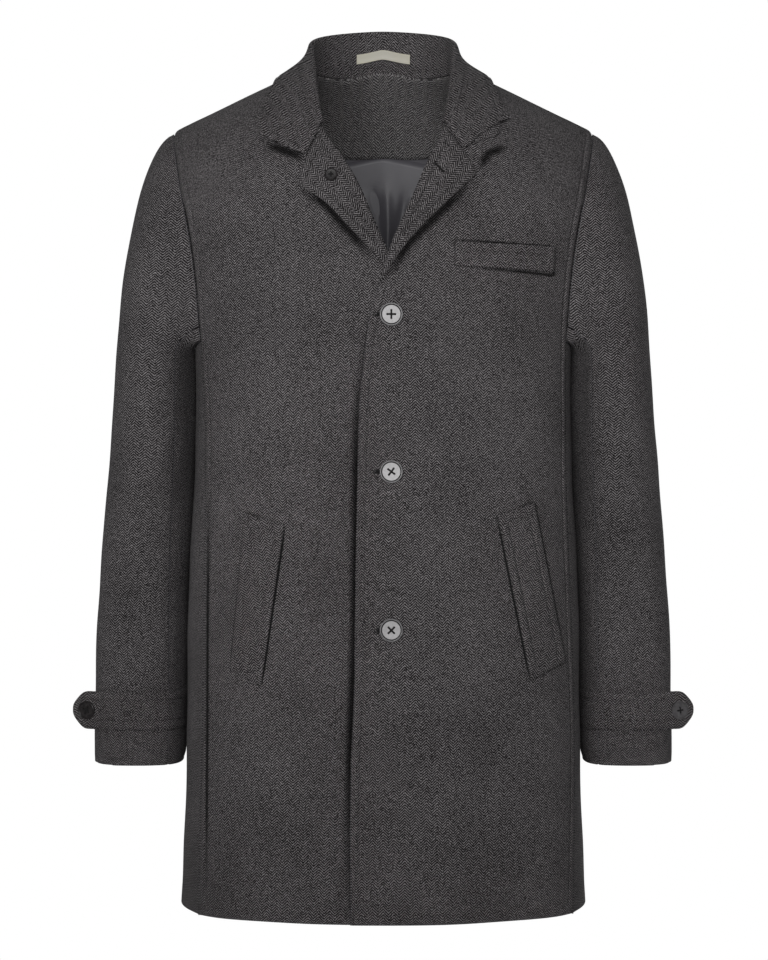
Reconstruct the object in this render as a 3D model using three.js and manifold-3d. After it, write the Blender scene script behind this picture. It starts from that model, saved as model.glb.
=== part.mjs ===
// A men's single-breasted wool overcoat, filled out as it is worn and open at neck, cuffs and hem.
// Millimetres, +Z up, +X to the wearer's left, the front faces -Y. The origin is the middle of the neck base.
import * as THREE from 'three';
import { mergeVertices } from 'three/addons/utils/BufferGeometryUtils.js';
import Module from 'manifold-3d';

const wasm = await Module();
wasm.setup();

// Driving sizes
const wallThickness = 2.2;
const seamGap = 0.3;
const layGap = 0.7;
const hemHeight = -870;
const roundingHeight = -150;
const sectionPower = 2.5;
const neckHalfWidth = 81;
const neckBackDepth = 64;
const shoulderHalfWidth = 219;
const shoulderSlope = 0.486;
const shoulderLevelAt = 78;
const underarmHeight = -290;
const sleeveClearance = 2.6;
const overlapLift = wallThickness + layGap;
const lapelLift = 2 * overlapLift;
const cuffHeight = -727;
const rightSide = -1;
const leftSide = 1;

const wool = { color: 0x484647, roughness: 0.95, metalness: 0 };
const satin = { color: 0x46444a, roughness: 0.45, metalness: 0 };
const cream = { color: 0xc7c3ac, roughness: 0.7, metalness: 0 };
const horn = { color: 0x8f8d8e, roughness: 0.35, metalness: 0 };
const darkHorn = { color: 0x3a3838, roughness: 0.35, metalness: 0 };

// Torso sections from hem to the start of the shoulder rounding
const torsoSections = [
  { z: -870, halfWidth: 213, front: 138, back: 124 },
  { z: -731, halfWidth: 208, front: 135, back: 121 },
  { z: -570, halfWidth: 206, front: 132, back: 118 },
  { z: -432, halfWidth: 199, front: 127, back: 114 },
  { z: -369, halfWidth: 197, front: 124, back: 114 },
  { z: -290, halfWidth: 197, front: 120, back: 116 },
  { z: -247, halfWidth: 205, front: 120, back: 117 },
  { z: -200, halfWidth: 215, front: 120, back: 118 },
  { z: -150, halfWidth: 226, front: 118, back: 118 },
];

// Armhole edge: height on the panel and distance from the centre
const armhole = [
  { z: -290, x: 187 },
  { z: -247, x: 190 },
  { z: -213, x: 193 },
  { z: -170, x: 199 },
  { z: -139, x: 206 },
  { z: -90, x: 213 },
  { z: -62, x: 216.5 },
  { z: -30, x: 218.5 },
  { z: 0, x: 219 },
];

// Side seam of each front, as distance from the centre
const sideSeam = {
  [rightSide]: [{ z: -870, x: 184 }, { z: -600, x: 182 }, { z: -400, x: 181 }, { z: -290, x: 187 }],
  [leftSide]: [{ z: -870, x: 190 }, { z: -700, x: 195 }, { z: -400, x: 187 }, { z: -290, x: 187 }],
};

// Inner edge of each front: centre front edge, then roll line, then neck seam.
// Distances are on the panel's own side of the centre, and below zero past it.
const frontInnerEdge = {
  [leftSide]: [
    { z: -870, x: -32 }, { z: -800, x: -33 }, { z: -709, x: -31.6 }, { z: -643, x: -28.5 },
    { z: -538, x: -27 }, { z: -426, x: -25 }, { z: -351, x: -23 }, { z: -290, x: -17 },
    { z: -263, x: -13.5 }, { z: -238, x: -4 }, { z: -205, x: 5 }, { z: -180, x: 14.7 },
    { z: -143, x: 32.5 }, { z: -111, x: 45.5 }, { z: -93, x: 55 }, { z: -76, x: 65 },
    { z: -56, x: 70.3 }, { z: -36, x: 74.3 }, { z: -12, x: 78.5 }, { z: -1.46, x: neckHalfWidth },
  ],
  [rightSide]: [
    { z: -870, x: -40 }, { z: -540, x: -40 }, { z: -320, x: -40 }, { z: -290, x: -38 },
    { z: -262, x: -30 }, { z: -230, x: -17 }, { z: -205, x: -5 }, { z: -180, x: 7 },
    { z: -153, x: 17 }, { z: -111, x: 38 }, { z: -92, x: 54 }, { z: -76, x: 65 },
    { z: -56, x: 70.3 }, { z: -36, x: 74.3 }, { z: -12, x: 78.5 }, { z: -1.46, x: neckHalfWidth },
  ],
};

// Free edge of each turned-back lapel, from its foot to the notch and along the gorge seam
const lapelEdge = {
  [leftSide]: [
    { x: -3.6, z: -237 }, { x: 6, z: -222 }, { x: 25.6, z: -194 }, { x: 58.4, z: -160.6 },
    { x: 92, z: -129 }, { x: 93.5, z: -124 }, { x: 89, z: -117 }, { x: 81, z: -104.2 },
  ],
  [rightSide]: [
    { x: -37, z: -286 }, { x: -13, z: -236 }, { x: 7, z: -209 }, { x: 30, z: -185 },
    { x: 57, z: -156 }, { x: 84, z: -139 }, { x: 86, z: -134 }, { x: 76.4, z: -109.6 },
  ],
};

// Collar stations from the gorge to the centre back: fold and leaf edge.
// A leaf edge rests on the front, on the shoulder or on the back of the coat.
const collarStations = [
  { neck: 0.0, rollX: 59.5, rollY: -102.6, rollZ: -74, width: 5.8, edgeX: 124, edgeZ: -76, face: -1 },
  { neck: 0.2, rollX: 66.0, rollY: -76, rollZ: -33, width: 6.4, edgeX: 119, edgeZ: -54, face: -1 },
  { neck: 0.4, rollX: 71.0, rollY: -46, rollZ: -2, width: 7.0, edgeX: 113, edgeZ: -33, face: -1 },
  { neck: 0.6, rollX: 75.5, rollY: 0, rollZ: 25, width: 8.5, edgeX: 107, edgeZ: -14.1, face: 1 },
  { neck: 0.7, rollX: 75.0, rollY: 26, rollZ: 36, width: 9.0, edgeX: 100, edgeZ: -16, face: 1 },
  { neck: 0.8, rollX: 61.0, rollY: 53, rollZ: 46, width: 9.0, edgeX: 77, edgeZ: -20, face: 1 },
  { neck: 0.9, rollX: 33.0, rollY: 68, rollZ: 52, width: 9.0, edgeX: 41, edgeZ: -25, face: 1 },
  { neck: 1.0, rollX: 0.0, rollY: 73, rollZ: 54, width: 9.0, edgeX: 0, edgeZ: -27, face: 1 },
];

// Front end of each collar leaf: gorge seam, notch corner and point
const collarEnd = {
  [leftSide]: [{ x: 61, z: -76 }, { x: 71, z: -89.5 }, { x: 81, z: -103 }, { x: 99, z: -84 }, { x: 127, z: -68 }],
  [rightSide]: [{ x: 61, z: -76 }, { x: 68.5, z: -92 }, { x: 76, z: -108 }, { x: 95, z: -103 }, { x: 124, z: -85 }],
};

// Sleeve sections: outer side, half depth and middle in depth
const sleeveSections = [
  { z: -727, outer: 305, halfDepth: 52, middle: 20 },
  { z: -621, outer: 304, halfDepth: 57, middle: 24 },
  { z: -558, outer: 301, halfDepth: 61, middle: 25 },
  { z: -495, outer: 296.5, halfDepth: 65, middle: 22 },
  { z: -432, outer: 291, halfDepth: 69, middle: 16 },
  { z: -369, outer: 285, halfDepth: 73, middle: 10 },
  { z: -306, outer: 280, halfDepth: 76, middle: 6 },
];

// Soft vertical drapes of the skirt: place round the body from the centre front, spread and depth
const skirtDrapes = [
  { angle: -52, spread: 13, top: -560, depth: 3.5 },
  { angle: -28, spread: 12, top: -620, depth: -3 },
  { angle: 30, spread: 12, top: -600, depth: -3 },
  { angle: 55, spread: 12, top: -540, depth: 3.5 },
  { angle: 125, spread: 14, top: -520, depth: 4 },
  { angle: 152, spread: 12, top: -480, depth: -4 },
  { angle: 180, spread: 10, top: -420, depth: 4.5 },
  { angle: -180, spread: 10, top: -420, depth: 4.5 },
  { angle: -152, spread: 12, top: -480, depth: -4 },
  { angle: -125, spread: 14, top: -520, depth: 4 },
];

// Folds across the sleeve: place round it from the outer side towards the front, height, slant and depth
const sleeveFolds = [
  { angle: 70, z: -330, slant: 0.9, spread: 15, depth: -5 },
  { angle: 60, z: -440, slant: -0.7, spread: 14, depth: -4 },
  { angle: 110, z: -400, slant: 0.6, spread: 14, depth: 3 },
  { angle: -60, z: -420, slant: 0.6, spread: 16, depth: -4 },
  { angle: -80, z: -520, slant: -0.5, spread: 16, depth: 3 },
  { angle: 80, z: -545, slant: 0.4, spread: 13, depth: -3 },
];

const toRadians = Math.PI / 180;
const group = new THREE.Group();

function smooth(from, to, value) {
  const t = Math.min(1, Math.max(0, (value - from) / (to - from)));
  return t * t * (3 - 2 * t);
}

// Value of a column at a height, by a smooth curve that never overshoots its rows
function readTable(rows, column, z, key = 'z') {
  if (z <= rows[0][key]) return rows[0][column];
  const last = rows.length - 1;
  if (z >= rows[last][key]) return rows[last][column];
  let i = 0;
  while (rows[i + 1][key] < z) i += 1;
  const slope = (k) => (rows[k + 1][column] - rows[k][column]) / (rows[k + 1][key] - rows[k][key]);
  const tangent = (k) => {
    if (k === 0) return slope(0);
    if (k === last) return slope(last - 1);
    const before = slope(k - 1);
    const after = slope(k);
    return before * after <= 0 ? 0 : (2 * before * after) / (before + after);
  };
  const span = rows[i + 1][key] - rows[i][key];
  const t = (z - rows[i][key]) / span;
  const bend = t * t * (3 - 2 * t);
  return rows[i][column] * (1 - bend) + rows[i + 1][column] * bend
    + span * (tangent(i) * t * (1 - t) ** 2 - tangent(i + 1) * t * t * (1 - t));
}

function followPath(points, fraction) {
  const place = Math.min(0.99999, Math.max(0, fraction)) * (points.length - 1);
  const i = Math.floor(place);
  const t = place - i;
  const mix = (column) => points[i][column] * (1 - t) + points[i + 1][column] * t;
  return { x: mix('x'), z: mix('z') };
}

function shoulderHeight(x) {
  return -shoulderSlope * (Math.abs(x) - shoulderLevelAt);
}

function torsoDepth(x, z, face) {
  const level = Math.min(z, roundingHeight);
  const reach = Math.min(1, Math.abs(x) / readTable(torsoSections, 'halfWidth', level));
  const depth = readTable(torsoSections, face < 0 ? 'front' : 'back', level);
  return depth * (1 - reach ** sectionPower) ** (1 / sectionPower);
}

// Row height of the panel for a real height, and back: they differ above the shoulder rounding
function rowHeight(x, z) {
  if (z <= roundingHeight) return z;
  const rise = Math.min(1, (z - roundingHeight) / (shoulderHeight(x) - roundingHeight));
  return roundingHeight - (roundingHeight * Math.asin(rise)) / (Math.PI / 2);
}

function drapeAt(angle, z) {
  let out = 0;
  for (const drape of skirtDrapes) {
    const across = Math.exp(-(((angle / toRadians - drape.angle) / drape.spread) ** 2));
    out += drape.depth * across * smooth(drape.top, hemHeight, z);
  }
  return out;
}

// Point of the torso's outer surface at an angle from the centre front and a row height
function torsoPoint(angle, row) {
  const level = Math.min(row, roundingHeight);
  const halfWidth = readTable(torsoSections, 'halfWidth', level);
  const front = Math.cos(angle) >= 0;
  const depth = readTable(torsoSections, front ? 'front' : 'back', level);
  const bend = 2 / sectionPower;
  const x = Math.sign(Math.sin(angle)) * halfWidth * Math.abs(Math.sin(angle)) ** bend;
  const out = (front ? -1 : 1) * depth * Math.abs(Math.cos(angle)) ** bend;
  if (row <= roundingHeight) {
    const point = new THREE.Vector3(x, out, row);
    const away = new THREE.Vector3(x / halfWidth, out / depth, 0).normalize();
    return point.addScaledVector(away, drapeAt(angle, row));
  }
  const rise = ((row - roundingHeight) / -roundingHeight) * (Math.PI / 2);
  const z = roundingHeight + (shoulderHeight(x) - roundingHeight) * Math.sin(rise);
  return new THREE.Vector3(x, out * Math.cos(rise), z);
}

function torsoNormal(angle, row) {
  const step = 0.01;
  const height = Math.min(row, -1.5);
  const across = torsoPoint(angle + step, height).sub(torsoPoint(angle - step, height));
  const up = torsoPoint(angle, height + 1).sub(torsoPoint(angle, height - 1));
  return across.cross(up).normalize();
}

function angleOf(x, row, face = -1) {
  const halfWidth = readTable(torsoSections, 'halfWidth', Math.min(row, roundingHeight));
  const turn = Math.asin(Math.min(1, Math.abs(x) / halfWidth) ** (sectionPower / 2));
  return Math.sign(x || 1) * (face < 0 ? turn : Math.PI - turn);
}

// How far the left front is lifted off the right one that it buttons over
function frontLift(side, x, row) {
  if (side === rightSide) return 0;
  const height = overlapLift + (lapelLift - overlapLift) * smooth(-350, -300, row);
  return height * (1 - smooth(48, 120, x)) * (1 - smooth(-165, -125, row));
}

// Point on a front or the back at a distance from the centre and a real height, moved out
function onPanel(side, x, z, out, face = -1) {
  const row = rowHeight(x, z);
  const angle = angleOf(side * x, row, face);
  const lift = face < 0 ? frontLift(side, x, row) : 0;
  return torsoPoint(angle, row).addScaledVector(torsoNormal(angle, row), out + lift);
}

function addMesh(name, geometry, look) {
  const mesh = new THREE.Mesh(geometry, new THREE.MeshStandardMaterial({ ...look, side: THREE.FrontSide }));
  mesh.name = name;
  mesh.geometry.computeVertexNormals();
  group.add(mesh);
  return mesh;
}

// Closed wall between two grids of points, with its faces turned outwards
function wallGeometry(rows, columns, outerPoint, innerPoint) {
  const points = [];
  for (const pointAt of [outerPoint, innerPoint]) {
    for (let i = 0; i <= rows; i += 1) {
      for (let j = 0; j <= columns; j += 1) points.push(pointAt(i, j));
    }
  }
  const layer = (rows + 1) * (columns + 1);
  const at = (i, j, inner = 0) => inner * layer + i * (columns + 1) + j;
  const faces = [];
  const quad = (a, b, c, d) => faces.push([a, b, c], [a, c, d]);
  for (let i = 0; i < rows; i += 1) {
    for (let j = 0; j < columns; j += 1) {
      quad(at(i, j), at(i, j + 1), at(i + 1, j + 1), at(i + 1, j));
      quad(at(i, j, 1), at(i + 1, j, 1), at(i + 1, j + 1, 1), at(i, j + 1, 1));
    }
  }
  for (let j = 0; j < columns; j += 1) {
    quad(at(0, j + 1), at(0, j), at(0, j, 1), at(0, j + 1, 1));
    quad(at(rows, j), at(rows, j + 1), at(rows, j + 1, 1), at(rows, j, 1));
  }
  for (let i = 0; i < rows; i += 1) {
    quad(at(i, 0), at(i + 1, 0), at(i + 1, 0, 1), at(i, 0, 1));
    quad(at(i + 1, columns), at(i, columns), at(i, columns, 1), at(i + 1, columns, 1));
  }
  let volume = 0;
  for (const [a, b, c] of faces) volume += points[a].dot(points[b].clone().cross(points[c]));
  const order = volume > 0 ? [0, 1, 2] : [0, 2, 1];
  const geometry = new THREE.BufferGeometry();
  geometry.setAttribute('position', new THREE.Float32BufferAttribute(points.flatMap((p) => p.toArray()), 3));
  geometry.setIndex(faces.flatMap((face) => order.map((k) => face[k])));
  return geometry;
}

// Wall laid along a panel grid: pointAt gives the outer point, and the other face lies along the normal
function layeredWall(name, rows, columns, pointAt, look) {
  const outer = (i, j) => pointAt(i, j, wallThickness);
  const inner = (i, j) => pointAt(i, j, 0);
  return addMesh(name, wallGeometry(rows, columns, outer, inner), look);
}

function torsoWall(name, rows, columns, placeAt, look = wool) {
  const pointAt = (i, j, out) => {
    const { angle, row, lift = 0 } = placeAt(i / rows, j / columns);
    return torsoPoint(angle, row).addScaledVector(torsoNormal(angle, row), lift + out - wallThickness);
  };
  return layeredWall(name, rows, columns, pointAt, look);
}

// Rows crowd together above the rounding, where the panel bends over the shoulder
function panelRow(fraction, top) {
  const straight = 0.68;
  if (fraction <= straight) return hemHeight + (roundingHeight - hemHeight) * (fraction / straight);
  return roundingHeight + (top - roundingHeight) * ((fraction - straight) / (1 - straight));
}

const shoulderSeamRow = -0.35;
const innerRows = {};
for (const side of [leftSide, rightSide]) {
  innerRows[side] = frontInnerEdge[side].map(({ x, z }) => ({ z: rowHeight(x, z), x }));
}

function outerEdgeX(side, row) {
  return row <= underarmHeight ? readTable(sideSeam[side], 'x', row) : readTable(armhole, 'x', row);
}

function buildFront(side, name) {
  torsoWall(name, 28, 10, (up, across) => {
    const row = panelRow(up, shoulderSeamRow);
    const innerX = readTable(innerRows[side], 'x', row);
    const from = angleOf(innerX, row);
    const to = angleOf(outerEdgeX(side, row) - seamGap, row);
    const angle = from + (to - from) * across;
    const x = torsoPoint(angle, row).x;
    return { angle: side * angle, row, lift: frontLift(side, x, row) };
  });
}

function backNeckRow(x) {
  if (Math.abs(x) >= neckHalfWidth) return shoulderSeamRow;
  const depth = neckBackDepth * Math.sqrt(1 - (x / neckHalfWidth) ** 2);
  const rise = Math.acos(Math.min(1, depth / torsoDepth(x, roundingHeight, 1)));
  return Math.min(shoulderSeamRow, roundingHeight - (roundingHeight * rise) / (Math.PI / 2));
}

const neckColumns = 10;
const shoulderColumns = 4;
const backColumns = neckColumns + 2 * shoulderColumns;

// Share of the back's half width at a column: the neck corners fall on columns of their own
function backShare(column) {
  const k = column - backColumns / 2;
  const neckShare = neckHalfWidth / shoulderHalfWidth;
  const half = neckColumns / 2;
  if (Math.abs(k) <= half) return Math.sin(((k / half) * Math.PI) / 2) * neckShare;
  return Math.sign(k) * (neckShare + ((Math.abs(k) - half) / shoulderColumns) * (1 - neckShare));
}

const backRows = 26;

function backPlace(i, j) {
  const share = backShare(j);
  const row = panelRow(i / backRows, backNeckRow(share * shoulderHalfWidth));
  return { angle: angleOf(share * (outerEdgeX(rightSide, row) - seamGap), row, 1), row };
}

function buildBack() {
  torsoWall('back', backRows, backColumns, (up, across) => backPlace(up * backRows, Math.round(across * backColumns)));
}

function underarmRow(across) {
  return underarmHeight - 6 * Math.sin(Math.PI * across);
}

function buildSidePanel(side, name) {
  torsoWall(name, 16, 5, (up, across) => {
    const row = hemHeight + (underarmRow(across) - hemHeight) * up;
    const from = angleOf(readTable(sideSeam[side], 'x', row), row);
    const to = angleOf(readTable(sideSeam[rightSide], 'x', row), row, 1);
    return { angle: side * (from + (to - from) * across), row };
  });
}

// A lapel is the facing turned back over the front along the roll line
function buildLapel(side, name, footRow) {
  const rollEnd = { x: 60.6, z: -77.2 };
  const roll = frontInnerEdge[side].filter(({ z }) => z >= footRow && z < rollEnd.z - 8).concat([rollEnd]);
  const edge = lapelEdge[side];
  const rows = 14;
  const columns = 5;
  layeredWall(name, rows, columns, (i, j, out) => {
    const inside = followPath(roll, i / rows);
    const outside = followPath(edge, i / rows);
    const share = j / columns;
    const x = inside.x * (1 - share) + outside.x * share;
    const z = inside.z * (1 - share) + outside.z * share;
    return onPanel(side, x, z, out + layGap);
  }, wool);
}

// Patch lying on a front, between four corners in the order foot inner, foot outer, top inner, top outer
function buildPatch(name, side, corners, rows, columns, base, thickness, look = wool) {
  const [footIn, footOut, topIn, topOut] = corners;
  const blend = (column, i, j) => {
    const foot = footIn[column] * (1 - j) + footOut[column] * j;
    const top = topIn[column] * (1 - j) + topOut[column] * j;
    return foot * (1 - i) + top * i;
  };
  const pointAt = (out) => (i, j) => {
    const x = blend('x', i / rows, j / columns);
    const z = blend('z', i / rows, j / columns);
    return onPanel(side, x, z, base + out);
  };
  addMesh(name, wallGeometry(rows, columns, pointAt(thickness), pointAt(0)), look);
}

const shoulderPlace = 0.6;

function neckSeam(side, place, out) {
  if (place < shoulderPlace) {
    const edge = frontInnerEdge[side].filter(({ z }) => z >= -76);
    const { x, z } = followPath(edge, place / shoulderPlace);
    return onPanel(side, x, z, out);
  }
  const turn = ((1 - place) / (1 - shoulderPlace)) * (Math.PI / 2);
  const x = neckHalfWidth * Math.sin(turn);
  const row = backNeckRow(x);
  const angle = side * angleOf(x, row, 1);
  return torsoPoint(angle, row).addScaledVector(torsoNormal(angle, row), out);
}

// Keeps a point of the collar leaf clear of the coat beneath it
function pushClear(point, clearance) {
  const face = point.y < 0 ? -1 : 1;
  const x = Math.abs(point.x);
  let row = point.z;
  if (point.z > roundingHeight) {
    const height = (point.z - roundingHeight) / (shoulderHeight(x) - roundingHeight);
    const depth = Math.abs(point.y) / torsoDepth(x, roundingHeight, face);
    row = roundingHeight - (roundingHeight * Math.atan2(height, depth)) / (Math.PI / 2);
  }
  const angle = Math.sign(point.x || 1) * Math.abs(angleOf(x, row, face));
  const base = torsoPoint(angle, row);
  const normal = torsoNormal(angle, row);
  const room = point.clone().sub(base).dot(normal);
  if (room < clearance) point.addScaledVector(normal, clearance - room);
  return point;
}

const standSteps = 2;
const foldSteps = 4;
const leafSteps = 6;
const collarSteps = 32;
const leafRest = 0.9;
const leafTipRest = 3;

// Visible face of the collar: up the stand, over the fold and down the leaf
function collarPoint(i, j) {
  const half = collarSteps / 2;
  const side = i <= half ? rightSide : leftSide;
  const place = 1 - Math.abs(i - half) / half;
  const read = (column) => readTable(collarStations, column, place, 'neck');
  const fold = new THREE.Vector3(side * read('rollX'), read('rollY'), read('rollZ'));
  const radial = new THREE.Vector3(fold.x, fold.y + 20, 0).normalize();
  const panelNormal = neckSeam(side, place, 1).sub(neckSeam(side, place, 0));
  fold.addScaledVector(panelNormal, 1 - smooth(0.1, shoulderPlace, place));
  const outward = panelNormal.clone().lerp(radial, smooth(0, shoulderPlace, place)).normalize();
  const seamLine = neckSeam(side, Math.min(1, place + 0.02), 0).sub(neckSeam(side, Math.max(0, place - 0.02), 0));
  const towardsNeck = seamLine.cross(panelNormal).normalize();
  if (towardsNeck.dot(radial) > 0) towardsNeck.negate();
  const edgeGap = 2 * layGap;
  const inset = edgeGap - wallThickness * Math.min(0, outward.dot(towardsNeck));
  const seam = neckSeam(side, place, -wallThickness).addScaledVector(towardsNeck, inset);
  const rise = fold.clone().sub(seam).normalize();
  outward.addScaledVector(rise, -outward.dot(rise)).normalize();
  const radius = read('width') / 2;
  const middle = fold.clone().addScaledVector(rise, -radius);
  const onFold = (turn) => middle.clone()
    .addScaledVector(outward, -radius * Math.cos(turn))
    .addScaledVector(rise, radius * Math.sin(turn));
  if (j <= standSteps) {
    return seam.lerp(onFold(0), j / standSteps);
  }
  if (j <= standSteps + foldSteps) return onFold(((j - standSteps) / foldSteps) * Math.PI);
  const down = (j - standSteps - foldSteps) / leafSteps;
  const rest = leafRest + (leafTipRest - leafRest) * smooth(0, 0.5, down) + wallThickness;
  const start = onFold(Math.PI);
  const edge = onPanel(side, read('edgeX'), read('edgeZ'), rest, place >= shoulderPlace ? 1 : -1);
  const drop = start.distanceTo(edge);
  const leaf = new THREE.CubicBezierCurve3(
    start,
    start.clone().addScaledVector(rise, -0.35 * drop),
    edge.clone().lerp(start, 0.3).addScaledVector(outward, 2),
    edge,
  );
  const end = followPath(collarEnd[side], down);
  const onEnd = onPanel(side, end.x, end.z, rest);
  const point = leaf.getPoint(down).lerp(onEnd, 1 - smooth(0, 0.3, place));
  return pushClear(point, rest);
}

function collarNormal(i, j) {
  const last = standSteps + foldSteps + leafSteps;
  const along = collarPoint(Math.min(i + 1, collarSteps), j).sub(collarPoint(Math.max(i - 1, 0), j));
  const over = collarPoint(i, Math.min(j + 1, last)).sub(collarPoint(i, Math.max(j - 1, 0)));
  return along.cross(over).normalize();
}

function buildCollar() {
  const columns = standSteps + foldSteps + leafSteps;
  const sign = Math.sign(-collarNormal(collarSteps / 2, 0).y);
  const pointAt = (i, j, out) => collarPoint(i, j)
    .addScaledVector(collarNormal(i, j), sign * (out - wallThickness));
  layeredWall('collar', collarSteps, columns, pointAt, wool);
}

// The facing inside the back neck is made from the back's own points, moved inwards
function buildBackNeckFacing() {
  const firstRow = 21;
  const firstColumn = backColumns / 2 - 4;
  const thickness = 1.5;
  const pointAt = (out) => (i, j) => {
    const { angle, row } = backPlace(firstRow + i, firstColumn + j);
    const away = out - wallThickness - seamGap - thickness;
    return torsoPoint(angle, row).addScaledVector(torsoNormal(angle, row), away);
  };
  addMesh('back_neck_facing', wallGeometry(backRows - firstRow, 8, pointAt(thickness), pointAt(0)), wool);
}

// The satin back lining hangs with a pleat down its middle, as much of it as shows through the neck
function buildBackLining() {
  const rows = 9;
  const columns = 24;
  const halfWidth = 130;
  const foot = -330;
  const thickness = 1.2;
  const inset = 1.5;
  const pleatX = 5;
  const pointAt = (out) => (i, j) => {
    const x = halfWidth * ((2 * j) / columns - 1);
    const down = 1 - i / rows;
    const facingFoot = backPlace(21, backColumns / 2).row - 4;
    const row = facingFoot + (foot - facingFoot) * down;
    const pleat = 5 * Math.exp(-(((x - pleatX) / 9) ** 2)) * (0.3 + 0.7 * down);
    const wave = 2.2 * down * (1 + Math.sin(x / 13 + 2 * down));
    const angle = angleOf(x, row, 1);
    const away = out - wallThickness - inset - thickness - pleat - wave;
    return torsoPoint(angle, row).addScaledVector(torsoNormal(angle, row), away);
  };
  addMesh('back_lining', wallGeometry(rows, columns, pointAt(thickness), pointAt(0)), satin);
}

function buildHangerLoop() {
  const loopHalfWidth = 32;
  const loopHeight = 12;
  const loopFoot = 0.3;
  const half = collarSteps / 2;
  const loopPoint = (out) => (i, j) => {
    const column = half + (loopHalfWidth / 33) * 1.6 * ((2 * j) / 8 - 1);
    const low = collarPoint(half, 0);
    const high = collarPoint(half, standSteps);
    const seat = collarAlong(column, 0).lerp(collarAlong(column, standSteps), loopFoot);
    const up = high.sub(low).normalize();
    const bow = 2.2 * Math.cos((j / 8 - 0.5) * Math.PI);
    return seat.addScaledVector(up, i * loopHeight).add(new THREE.Vector3(0, -seamGap - bow - out, 0));
  };
  addMesh('hanger_loop', wallGeometry(1, 8, loopPoint(0), loopPoint(1.2)), cream);
}

// Collar point at a column that may lie between two stations
function collarAlong(i, j) {
  const before = Math.floor(i);
  return collarPoint(before, j).lerp(collarPoint(before + 1, j), i - before);
}

function sleevePower(z) {
  return 2.3 + 0.6 * smooth(-450, -640, z);
}

// Section of the sleeve at a height, at an angle from its outer side towards the front
function sleeveRing(angle, z) {
  const read = (column) => readTable(sleeveSections, column, z);
  const inside = readTable(torsoSections, 'halfWidth', Math.min(z, underarmHeight)) + sleeveClearance;
  const halfWidth = (read('outer') - inside) / 2;
  const bend = 2 / sleevePower(z);
  const across = Math.sign(Math.cos(angle)) * Math.abs(Math.cos(angle)) ** bend;
  const forward = Math.sign(Math.sin(angle)) * Math.abs(Math.sin(angle)) ** bend;
  let fold = 0;
  for (const row of sleeveFolds) {
    const turn = Math.atan2(Math.sin(angle - row.angle * toRadians), Math.cos(angle - row.angle * toRadians));
    const height = (z - row.z - row.slant * turn * 50) / row.spread;
    fold += row.depth * Math.exp(-(height ** 2) - (turn / 0.55) ** 2);
  }
  return new THREE.Vector3(
    inside + halfWidth + (halfWidth + fold) * across,
    read('middle') - (read('halfDepth') + fold) * forward,
    z,
  );
}

// Where the sleeve is sewn in: down the armhole's front or back edge, then under the arm
function sleeveHead(angle) {
  const turn = Math.atan2(Math.sin(angle), Math.cos(angle));
  const face = turn >= 0 ? -1 : 1;
  const underarmTurn = 150 * toRadians;
  const size = Math.abs(turn);
  if (size <= underarmTurn) {
    const row = (underarmHeight * (1 - Math.cos((size / underarmTurn) * Math.PI))) / 2;
    const x = readTable(armhole, 'x', row);
    const seat = angleOf(x, Math.min(row, -0.01), face);
    return torsoPoint(seat, row).add(new THREE.Vector3(seamGap, 0, 0));
  }
  const front = angleOf(armhole[0].x, underarmHeight);
  const back = angleOf(armhole[0].x, underarmHeight, 1);
  const across = (Math.PI - size) / (Math.PI - underarmTurn) / 2;
  const share = face < 0 ? 0.5 - across : 0.5 + across;
  const point = torsoPoint(front + (back - front) * share, underarmRow(share));
  return point.add(new THREE.Vector3(seamGap + 0.2, 0, 0));
}

// Point of the left sleeve: travel 0 to 1 is the sleeve head, 1 to 2 the arm down to the cuff
function sleevePoint(angle, travel) {
  const topRing = sleeveSections[sleeveSections.length - 1].z;
  if (travel > 1) return sleeveRing(angle, topRing + (cuffHeight - topRing) * (travel - 1));
  const head = sleeveHead(angle);
  const arm = sleeveRing(angle, topRing);
  const span = head.distanceTo(arm);
  const outwards = new THREE.Vector3(0.125 * span, 0, -0.02 * span);
  const upwards = new THREE.Vector3(-0.02 * span * Math.cos(angle), 0, 0.45 * span);
  const curve = new THREE.CubicBezierCurve3(head, head.clone().add(outwards), arm.clone().add(upwards), arm);
  return curve.getPoint(travel);
}

function sleeveNormal(angle, travel) {
  const step = 0.02;
  const low = Math.max(0, travel - step);
  const high = Math.min(2, travel + step);
  const along = sleevePoint(angle, high).sub(sleevePoint(angle, low));
  const round = sleevePoint(angle + step, travel).sub(sleevePoint(angle - step, travel));
  const normal = round.cross(along).normalize();
  const axis = sleevePoint(0, travel).add(sleevePoint(Math.PI, travel)).multiplyScalar(0.5);
  const away = sleevePoint(angle, travel).sub(axis);
  return normal.dot(away) < 0 ? normal.negate() : normal;
}

function onSleeve(side, angle, travel, out) {
  const point = sleevePoint(angle, travel).addScaledVector(sleeveNormal(angle, travel), out);
  point.x *= side;
  return point;
}

const headRows = 8;
const armRows = 13;

function buildSleevePiece(side, name, from, to, columns) {
  const travelAt = (i) => (i <= headRows ? i / headRows : 1 + (i - headRows) / armRows);
  const pointAt = (i, j, out) => {
    const angle = (from + (to - from) * (j / columns)) * toRadians;
    return onSleeve(side, angle, travelAt(i), out - wallThickness);
  };
  layeredWall(name, headRows + armRows, columns, pointAt, wool);
}

function buildSleeve(side, word) {
  const seamAngle = 128;
  const seamHalf = 0.25;
  buildSleevePiece(side, `top_sleeve_${word}`, -seamAngle + seamHalf, seamAngle - seamHalf, 14);
  buildSleevePiece(side, `under_sleeve_${word}`, seamAngle + seamHalf, 360 - seamAngle - seamHalf, 6);
}

// Cuff strap: round the front of the sleeve from the inner seam, then straight to its pointed free end
const strap = {
  z: -671, halfHeight: 19.5, thickness: 3, from: 172, to: 58,
  straight: 37, alongX: 0.93, alongY: 0.37, pointLength: 12,
};

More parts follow.
